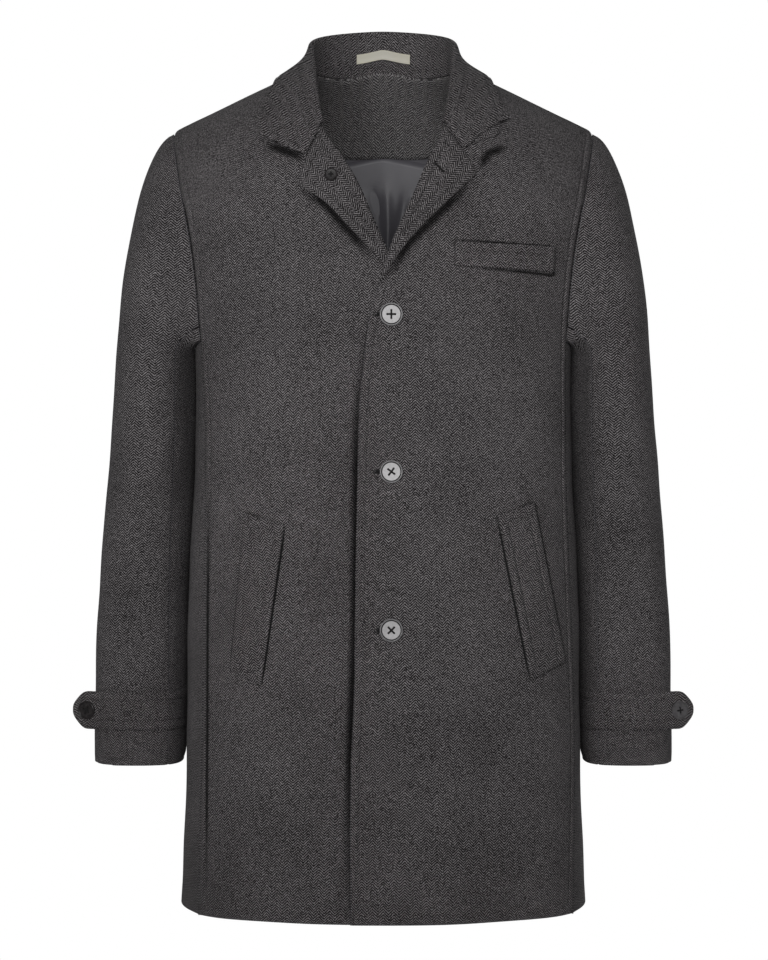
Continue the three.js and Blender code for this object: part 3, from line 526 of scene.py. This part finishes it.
# Soft folds: troughs (depth below 0) and ridges between two points, in mm
frontFolds = {
    "front_right": [
        {"a": (-92, -138), "b": (-12, -232), "width": 11, "depth": -4.2, "bow": -5},
        {"a": (-22, -262), "b": (-33, -885), "width": 9, "depth": -5.0, "bow": 3},
        {"a": (-178, -262), "b": (-112, -196), "width": 15, "depth": -1.6, "bow": 7},
        {"a": (-84, -330), "b": (-74, -872), "width": 26, "depth": -2.0, "bow": 8},
        {"a": (-128, -520), "b": (-136, -872), "width": 22, "depth": 1.7, "bow": -6},
        {"a": (-150, -330), "b": (-104, -430), "width": 18, "depth": -1.4, "bow": 5},
        {"a": (-52, -560), "b": (-48, -840), "width": 18, "depth": 1.4, "bow": -4},
    ],
    "front_left": [
        {"a": (98, -134), "b": (14, -262), "width": 12, "depth": -4.2, "bow": 5},
        {"a": (176, -250), "b": (116, -180), "width": 15, "depth": -1.6, "bow": -6},
        {"a": (60, -300), "b": (96, -452), "width": 20, "depth": -1.5, "bow": 7},
        {"a": (104, -640), "b": (112, -872), "width": 24, "depth": -2.0, "bow": -7},
        {"a": (62, -520), "b": (58, -872), "width": 24, "depth": 1.6, "bow": 6},
        {"a": (158, -300), "b": (122, -440), "width": 18, "depth": -1.3, "bow": -8},
    ],
}
backFolds = [
    {"a": (-66, -210), "b": (-58, -866), "width": 26, "depth": -2.3, "bow": 9, "face": -1},
    {"a": (58, -240), "b": (70, -866), "width": 24, "depth": -2.1, "bow": -8, "face": -1},
    {"a": (-124, -430), "b": (-132, -868), "width": 24, "depth": 1.8, "bow": -8, "face": -1},
    {"a": (118, -380), "b": (128, -868), "width": 26, "depth": 1.9, "bow": 7, "face": -1},
    {"a": (-8, -520), "b": (6, -868), "width": 30, "depth": 1.5, "bow": 5, "face": -1},
    {"a": (-172, -270), "b": (-96, -180), "width": 16, "depth": -2.0, "bow": 9, "face": -1},
    {"a": (172, -262), "b": (100, -176), "width": 16, "depth": -1.8, "bow": -8, "face": -1},
    {"a": (-62, -98), "b": (64, -102), "width": 11, "depth": -1.6, "bow": -6, "face": -1},
    {"a": (-100, -330), "b": (-20, -372), "width": 14, "depth": -1.1, "bow": 5, "face": -1},
    {"a": (104, -352), "b": (24, -380), "width": 15, "depth": -1.2, "bow": -5, "face": -1},
]
sideFolds = [
    {"a": (-30, -330), "b": (-22, -860), "width": 16, "depth": -1.6, "bow": 4, "seen": "side"},
    {"a": (34, -360), "b": (28, -860), "width": 18, "depth": 1.5, "bow": -5, "seen": "side"},
]
# Right sleeve as seen from the front; the left one is its mirror with its own unevenness
sleeveFolds = [
    {"a": (-206, -108), "b": (-196, -300), "width": 10, "depth": -1.8, "bow": 5},
    {"a": (-238, -150), "b": (-222, -330), "width": 15, "depth": 1.3, "bow": -4},
    {"a": (-200, -352), "b": (-246, -402), "width": 9, "depth": -2.0, "bow": -4},
    {"a": (-204, -398), "b": (-258, -432), "width": 8, "depth": 1.3, "bow": 3},
    {"a": (-206, -430), "b": (-252, -474), "width": 10, "depth": -1.7, "bow": 4},
    {"a": (-212, -556), "b": (-206, -690), "width": 12, "depth": -2.4, "bow": 4},
    {"a": (-262, -470), "b": (-256, -680), "width": 16, "depth": -1.1, "bow": -5},
    {"a": (-228, -640), "b": (-272, -668), "width": 8, "depth": -1.3, "bow": 3},
    {"a": (-236, -742), "b": (-240, -700), "width": 12, "depth": 0.9, "bow": 0},
    {"a": (-205, -150), "b": (-224, -360), "width": 14, "depth": -2.0, "bow": 6, "face": -1},
    {"a": (-214, -380), "b": (-264, -418), "width": 9, "depth": -2.2, "bow": 5, "face": -1},
    {"a": (-216, -432), "b": (-266, -450), "width": 9, "depth": 1.5, "bow": -3, "face": -1},
    {"a": (-218, -462), "b": (-262, -502), "width": 10, "depth": -1.9, "bow": 4, "face": -1},
    {"a": (-246, -520), "b": (-252, -700), "width": 15, "depth": -1.5, "bow": -5, "face": -1},
    {"a": (4, -240), "b": (18, -800), "width": 28, "depth": 4.4, "bow": 0, "seen": "side"},
    {"a": (-4, -236), "b": (8, -380), "width": 26, "depth": 2.6, "bow": 0, "seen": "side"},
]


def mirrored(rows, stretch):
    # the same folds for the other side, shifted and made shallower so that the two sides differ
    out = []
    for row in rows:
        other = dict(row)
        if row.get("seen") == "side":
            other["face"] = -1
            out.append(other)
            continue
        other["a"] = (-row["a"][0], row["a"][1] - 7 * stretch)
        other["b"] = (-row["b"][0], row["b"][1] + 5 * stretch)
        other["bow"] = -row["bow"]
        other["depth"] = row["depth"] * stretch
        out.append(other)
    return out


def makeBody():
    body = {
        "front_left": (torsoWeave, "edged", frontFolds["front_left"]),
        "front_right": (torsoWeave, "edged", frontFolds["front_right"]),
        "side_panel_left": (sideWeave, "body", sideFolds),
        "side_panel_right": (sideWeave, "body", [dict(row, face=-1) for row in sideFolds]),
        "back": (torsoWeave, "body", backFolds),
    }
    for name, (layout, look, creases) in body.items():
        edged = look == "edged"
        clothPiece(name, layout, look, level=3 if edged else 2, creases=creases, inner=outsideTorso,
                   roll=1.2 if edged else 0.0)


def makeSleeves():
    leftFolds = mirrored(sleeveFolds, 0.85)
    leftFolds.append({"a": (202, -262), "b": (197, -480), "width": 9, "depth": -4.4, "bow": -3})  # beside the body
    for side, folds in (("right", sleeveFolds), ("left", leftFolds)):
        clothPiece("top_sleeve_" + side, sleeveWeave, "body", creases=folds, inner=outsideSleeve)
        clothPiece("under_sleeve_" + side, sleeveWeave, "body", creases=folds, inner=outsideSleeve)


liningFolds = [
    {"a": (4, -118), "b": (3, -250), "width": 5, "depth": 2.6, "bow": 2},
    {"a": (-22, -122), "b": (4, -205), "width": 5, "depth": 1.8, "bow": -3},
    {"a": (-30, -130), "b": (-6, -216), "width": 6, "depth": -1.6, "bow": -3},
    {"a": (24, -120), "b": (8, -180), "width": 5, "depth": -1.8, "bow": 2},
    {"a": (34, -126), "b": (16, -214), "width": 6, "depth": 1.5, "bow": 3},
    {"a": (-12, -116), "b": (-4, -150), "width": 4, "depth": -1.4, "bow": 1},
]


# The top of the facing meets the collar stand and the top of the lining tucks under the facing, in mm
neckFit = {"facingForward": 1.3, "facingInwards": 1.6, "facingLift": 3.4, "facingReach": 14,
           "liningForward": 1.5, "liningLift": 10, "liningReach": 30}


def topShare(co, reach):
    # from 0 to 1 over the top of a piece
    top = co[:, 2].max()
    return smoothstep(top - reach * mm, top, co[:, 2])[:, None]


def makeCollar():
    clothPiece("collar", neckWeave, "edged", level=3)
    clothPiece("lapel_left", slantedWeave(-38), "edged", level=3, roll=1.2)
    clothPiece("lapel_right", slantedWeave(38), "edged", level=3, roll=1.2)
    clothPiece("throat_tab", slantedWeave(-25), "body", level=3)
    facing = clothPiece("back_neck_facing", torsoWeave, "facing", seamDip=0.0, rumple=0.2)
    co = getCo(facing.data) - np.array([0, neckFit["facingForward"], 0]) * mm
    inwards = -co[:, :2] / np.linalg.norm(co[:, :2], axis=1)[:, None] * neckFit["facingInwards"] * mm
    lift = np.full((len(co), 1), neckFit["facingLift"] * mm)
    setCo(facing.data, co + topShare(co, neckFit["facingReach"]) * np.concatenate([inwards, lift], axis=1))
    lining = clothPiece("back_lining", torsoWeave, "lining", level=3, creases=liningFolds, seamDip=0.0)
    co = getCo(lining.data)
    tuck = np.array([0, -neckFit["liningForward"], neckFit["liningLift"]]) * mm
    setCo(lining.data, co + topShare(co, neckFit["liningReach"]) * tuck)
    clothPiece("hanger_loop", neckWeave, "tape", level=3)


def makeTrims():
    for name, turn in (("chest_welt", 0), ("hip_welt_left", -12), ("hip_welt_right", 10)):
        clothPiece(name, slantedWeave(turn), "edged", level=3, seamDip=0.0, rumple=0.4, roll=0.8)
    for name in ("cuff_strap_left", "cuff_strap_right"):
        clothPiece(name, sleeveWeave, "edged", seamDip=0.0)


# Four-hole buttons, sewn on with two crossed bars of thread; turn in degrees
buttons = {
    "front_button_upper": {"look": "button", "slot": "button", "turn": 45},
    "front_button_middle": {"look": "button", "slot": "button", "turn": 8},
    "front_button_lower": {"look": "button", "slot": "button", "turn": 0},
    "cuff_button_left": {"look": "greyButton", "slot": "button", "turn": 52},
    # the right cuff button is drawn black as painted shade and dark reflection of a button turned away; the counter
    # button is black
    "cuff_button_right": {"look": "blackButtonAndShadedCuffButton", "slot": "dark_button", "turn": 20},
    "counter_button": {"look": "blackButtonAndShadedCuffButton", "slot": "dark_button", "turn": 45},
}
# profile as shares of the radius and thickness: base, rounded rim, groove, flat middle
buttonShape = {
    "profile": [(0, 0), (0.72, 0), (1, 0.4), (1, 0.8), (0.965, 0.96), (0.93, 1), (0.885, 0.96), (0.86, 0.7),
                (0.82, 0.66), (0.785, 0.78), (0.6, 0.76), (0, 0.72)],
    "segments": 48, "holeRadius": 0.095, "holeSpacing": 0.24, "rimFrom": 0.885, "grooveFrom": 0.79, "holesWithin": 0.5,
}
# Thread radius and the height of the second bar over the first in mm; the rest are shares of radius or thickness
threadShape = {"radius": 0.34, "crossing": 0.2, "strands": 3, "spacing": 1.6, "flatten": 0.28, "lift": 0.6}


def seatOf(nodeName):
    # place, radius and thickness of a round CAD node, read from its mesh
    co = getCo(nodes[nodeName].data)
    axes = np.linalg.eigh(np.cov((co - co.mean(0)).T))[1]
    normal = axes[:, 0] * (-1 if axes[1, 0] > 0 else 1)
    side = np.cross((0, 0, 1), normal)
    side /= np.linalg.norm(side)
    up = np.cross(normal, side)
    spans = [(co @ axis).min() + (co @ axis).max() for axis in (side, up)]
    seat = side * spans[0] / 2 + up * spans[1] / 2 + normal * (co @ normal).min()
    frameRows = [list(row) + [value] for row, value in zip(np.stack([side, up, normal], 1), seat)]
    radius = ((co @ up).max() - (co @ up).min()) / 2
    return Matrix(frameRows + [[0, 0, 0, 1]]), radius, (co @ normal).max() - (co @ normal).min()


def addPiece(name, bm, look, smoothAngle=40):
    # new piece, shaded smooth up to an angle in degrees
    bmesh.ops.recalc_face_normals(bm, faces=bm.faces)
    piece = meshObject(name, bm)
    piece.data.shade_smooth()
    piece.data.set_sharp_from_angle(angle=math.radians(smoothAngle))
    piece.data.materials.append(materials[look])
    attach(piece, "root")
    return piece


def drillHoles(disc, radius, spacing, depth):
    # four holes in a square, cut right through
    drill = bmesh.new()
    for x, y in ((1, 1), (-1, 1), (-1, -1), (1, -1)):
        made = bmesh.ops.create_cone(drill, cap_ends=True, segments=16, depth=depth, radius1=radius, radius2=radius)
        bmesh.ops.translate(drill, verts=made["verts"], vec=(x * spacing, y * spacing, 0))
    tool = meshObject("drill", drill)
    cut = disc.modifiers.new("holes", "BOOLEAN")
    cut.operation = "DIFFERENCE"
    cut.solver = "EXACT"
    cut.object = tool
    drilled = bpy.data.meshes.new_from_object(disc.evaluated_get(bpy.context.evaluated_depsgraph_get()))
    disc.modifiers.clear()
    disc.data = drilled
    bpy.data.objects.remove(tool)
    return drilled


def threadBar(bm, reach, turn, lift):
    # strands side by side, arched from hole to hole
    before = set(bm.verts)
    radius = threadShape["radius"] * mm
    for strand in range(threadShape["strands"]):
        offset = (strand - (threadShape["strands"] - 1) / 2) * radius * threadShape["spacing"]
        made = bmesh.ops.create_circle(bm, segments=8, radius=radius)
        bmesh.ops.translate(bm, verts=made["verts"], vec=(reach, offset, 0))
        start = made["verts"] + list({edge for vert in made["verts"] for edge in vert.link_edges})
        bmesh.ops.spin(bm, geom=start, cent=(0, offset, 0), axis=(0, -1, 0), angle=math.pi, steps=12)
    bmesh.ops.holes_fill(bm, edges=bm.edges, sides=8)
    verts = [vert for vert in bm.verts if vert not in before]
    bmesh.ops.scale(bm, verts=verts, vec=(1, 1, threadShape["flatten"]))
    bmesh.ops.rotate(bm, verts=verts, cent=(0, 0, 0), matrix=Matrix.Rotation(turn, 3, "Z"))
    bmesh.ops.translate(bm, verts=verts, vec=(0, 0, lift))


def makeButton(nodeName, row):
    place, radius, thickness = seatOf(nodeName)
    place = place @ Matrix.Rotation(math.radians(row["turn"]), 4, "Z")
    bm = bmesh.new()
    path = [bm.verts.new((x * radius, 0, z * thickness)) for x, z in buttonShape["profile"]]
    edges = [bm.edges.new(pair) for pair in zip(path, path[1:])]
    bmesh.ops.spin(bm, geom=path + edges, cent=(0, 0, 0), axis=(0, 0, 1), angle=2 * math.pi,
                   steps=buttonShape["segments"], use_merge=True)
    bmesh.ops.remove_doubles(bm, verts=bm.verts, dist=0.000005)
    disc = addPiece(nodeName + "_disc", bm, row["look"])
    spacing = buttonShape["holeSpacing"] * radius
    mesh = drillHoles(disc, buttonShape["holeRadius"] * radius, spacing, thickness * 4)
    # the rim gets its own mid grey; the groove ring and the insides of the holes get painted shade
    if row["look"] == "button":
        mesh.materials.append(materials["rim"])
        mesh.materials.append(materials["groove"])
        for face in mesh.polygons:
            share = math.hypot(face.center.x, face.center.y) / radius
            inHole = share < buttonShape["holesWithin"] and face.normal.z < 0.5
            dark = share > buttonShape["grooveFrom"] or inHole
            face.material_index = 1 if share > buttonShape["rimFrom"] else 2 if dark else 0
    mesh.transform(place)
    mesh.shade_smooth()
    mesh.set_sharp_from_angle(angle=math.radians(35))
    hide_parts(nodeName)
    bm = bmesh.new()
    reach = spacing * math.sqrt(2)
    lift = thickness * threadShape["lift"]
    threadBar(bm, reach, math.radians(45), lift)
    threadBar(bm, reach, math.radians(135), lift + threadShape["crossing"] * mm)
    bm.transform(place)
    addPiece(nodeName + "_thread", bm, "thread")


# Buttonholes: a purled loop round a slit filled with painted shade, in mm; the lower three show their eyelet ends
buttonholes = {
    "buttonhole_upper": {
        "on": "front_left", "eye": (-8.5, -268), "turn": 0, "length": 24, "loop": 1.7, "cord": 0.5},
    "buttonhole_middle": {
        "on": "front_left", "eye": (-8.0, -424), "turn": 0, "length": 24, "loop": 1.7, "cord": 0.5},
    "buttonhole_lower": {
        "on": "front_left", "eye": (-7.0, -580.6), "turn": 0, "length": 24, "loop": 1.9, "cord": 0.5},
    "buttonhole_lapel": {
        "on": "lapel_left", "eye": (51.4, -116.9), "turn": -46, "length": 14, "loop": 0.8, "cord": 0.42},
}


layFrom = {"rayStart": -0.6, "searchStart": -0.12}  # metres in y, well before the coat and close before its front


def layOn(bm, carrier):
    # flat shape in x and z, height in y, laid on the front of a cloth piece, or on its nearest place where rays miss
    mesh = bpy.data.objects[carrier + "_cloth"].data
    tree = BVHTree.FromPolygons([v.co for v in mesh.vertices], [p.vertices for p in mesh.polygons])
    for vert in bm.verts:
        height = vert.co.y
        place, normal = tree.ray_cast(Vector((vert.co.x, layFrom["rayStart"], vert.co.z)), Vector((0, 1, 0)))[:2]
        if place is None:
            place, normal = tree.find_nearest(Vector((vert.co.x, layFrom["searchStart"], vert.co.z)))[:2]
        vert.co = place + normal * height


def makeButtonhole(name, row):
    # ring of cord, drawn out to the length of the hole and laid on the cloth, with a strip of painted shade in its slit
    turn = math.radians(row["turn"])
    bm = bmesh.new()
    made = bmesh.ops.create_circle(bm, segments=8, radius=row["cord"] * mm)
    bmesh.ops.translate(bm, verts=made["verts"], vec=(row["loop"] * mm, 0, 0))
    bmesh.ops.spin(bm, geom=made["verts"] + list(bm.edges), cent=(0, 0, 0), axis=(0, 1, 0), angle=2 * math.pi,
                   steps=32, use_merge=True)
    bmesh.ops.remove_doubles(bm, verts=bm.verts, dist=0.01 * mm)
    for vert in bm.verts:
        if vert.co.x > 0.1 * mm:
            vert.co.x += (row["length"] - 2 * row["loop"]) * mm
    drawnOut = [edge for edge in bm.edges if edge.calc_length() > 4 * mm]
    bmesh.ops.subdivide_edges(bm, edges=drawnOut, cuts=16, use_grid_fill=True)
    bmesh.ops.rotate(bm, verts=bm.verts, cent=(0, 0, 0), matrix=Matrix.Rotation(-turn, 3, "Y"))
    bmesh.ops.translate(bm, verts=bm.verts, vec=(row["eye"][0] * mm, 0, row["eye"][1] * mm))
    layOn(bm, row["on"])
    addPiece(name, bm, "purl", smoothAngle=180)
    reach = (row["length"] - row["loop"]) * np.array([math.cos(turn), math.sin(turn)])
    makeStrip(name + "_slit_shade", row["on"], [row["eye"], np.array(row["eye"]) + reach], 2 * row["loop"], "slit")


# Grid step, height over the cloth, thickness and half the length that gives the way, in mm; the rest are shares
stripShape = {"step": 3, "height": 0.12, "thickness": 0.2, "wayReach": 2, "endWidth": 0.25, "endTaper": 6,
              "endFade": 4, "sideFade": 1.5, "shade": 0.92}


def makeStrip(name, carrier, points, width, look):
    # thin strip of painted shade that follows the cloth through the points, in mm; its shade fades at its sides and
    # ends
    points = np.array(points, float)
    lengths = np.concatenate([[0], np.cumsum(np.hypot(*np.diff(points, axis=0).T))])

    def pointAt(along):
        return np.array([np.interp(along, lengths, points[:, k]) for k in (0, 1)])

    bm = bmesh.new()
    shade = bm.verts.layers.float.new("shade")
    bmesh.ops.create_grid(bm, x_segments=max(8, int(lengths[-1] / stripShape["step"])), y_segments=8, size=0.5)
    bmesh.ops.rotate(bm, verts=bm.verts, cent=(0, 0, 0), matrix=Matrix.Rotation(math.pi / 2, 3, "X"))
    for vert in bm.verts:
        along = (vert.co.x + 0.5) * lengths[-1]
        fromEnd = min(vert.co.x + 0.5, 0.5 - vert.co.x)
        way = pointAt(along + stripShape["wayReach"]) - pointAt(along - stripShape["wayReach"])
        way /= np.hypot(*way)
        side = vert.co.z * width * min(1, stripShape["endWidth"] + stripShape["endTaper"] * fromEnd)
        sideShade = (1 - 4 * vert.co.z ** 2) ** stripShape["sideFade"]
        vert[shade] = sideShade * min(1, stripShape["endFade"] * fromEnd) * stripShape["shade"]
        x, z = pointAt(along)
        vert.co = ((x - way[1] * side) * mm, stripShape["height"] * mm, (z + way[0] * side) * mm)
    layOn(bm, carrier)
    bmesh.ops.solidify(bm, geom=bm.faces, thickness=stripShape["thickness"] * mm)
    mesh = addPiece(name, bm, look, smoothAngle=60).data
    layWeave(mesh, torsoWeave(getCo(mesh)))


# Painted shade: dark strips where the cloth opens or folds over itself, and soft painted shadows beside the welts, a
# side seam, the lapels, the collar and the front edge; points and widths in mm
strips = {
    "pocket_mouth_shade_left": {
        "on": "front_left", "width": 1.9, "look": "slit",
        "points": [(113.2, -470), (146, -630)]},
    "pocket_mouth_shade_right": {
        "on": "front_right", "width": 1.9, "look": "slit",
        "points": [(-97.2, -478), (-120.2, -635)]},
    "pocket_mouth_shade_chest": {
        "on": "front_left", "width": 1.4, "look": "slit",
        "points": [(72, -195.2), (120, -198), (171, -196.2)]},
    "chest_welt_shade": {
        "on": "front_left", "width": 4.6, "look": "shaded",
        "points": [(70.5, -219), (70.8, -193.6), (172.2, -197.6), (172.2, -225.4), (71, -219.6)]},
    "hip_welt_shade_right": {
        "on": "front_right", "width": 4.2, "look": "shaded",
        "points": [(-97.7, -474.8), (-136.9, -464.8), (-152, -616.4), (-121.5, -638.8)]},
    "hip_welt_shade_left": {
        "on": "front_left", "width": 4.2, "look": "shaded",
        "points": [(113.6, -467), (151.6, -454), (184.4, -615.4), (147, -632.8)]},
    "side_seam_shade_right": {
        "on": "front_right", "width": 4.6, "look": "shaded",
        "points": [(-176.6, -420), (-177.2, -600), (-177.6, -866)]},
    "front_edge_crease_shade": {
        "on": "front_right", "width": 15, "look": "shaded",
        "points": [(-11, -262), (-19.5, -300), (-25.5, -380), (-28, -590), (-32.5, -712), (-33.5, -866)]},
    "lapel_crease_shade_right": {
        "on": "front_right", "width": 15, "look": "shaded",
        "points": [(-86, -138.5), (-57, -158.5), (-30.5, -188.5), (-8, -213)]},
    "lapel_crease_shade_left": {
        "on": "front_left", "width": 14, "look": "shaded",
        "points": [(94, -129), (59.5, -163.5), (26.5, -197), (6.5, -226), (-2, -240)]},
    "collar_crease_shade_right": {
        "on": "front_right", "width": 14, "look": "shaded",
        "points": [(-120, -94), (-90, -106.5), (-76, -111.5)]},
    "collar_crease_shade_left": {
        "on": "front_left", "width": 13, "look": "shaded",
        "points": [(126, -96), (104, -106), (96, -124)]},
}


makeBody()
makeSleeves()
makeCollar()
makeTrims()
print("cloth made")
for name, row in buttons.items():
    makeButton(name, row)
for name, row in buttonholes.items():
    makeButtonhole(name, row)
for name, row in strips.items():
    makeStrip(name, row["on"], row["points"], row["width"], row["look"])
print("buttons, buttonholes and creases made")
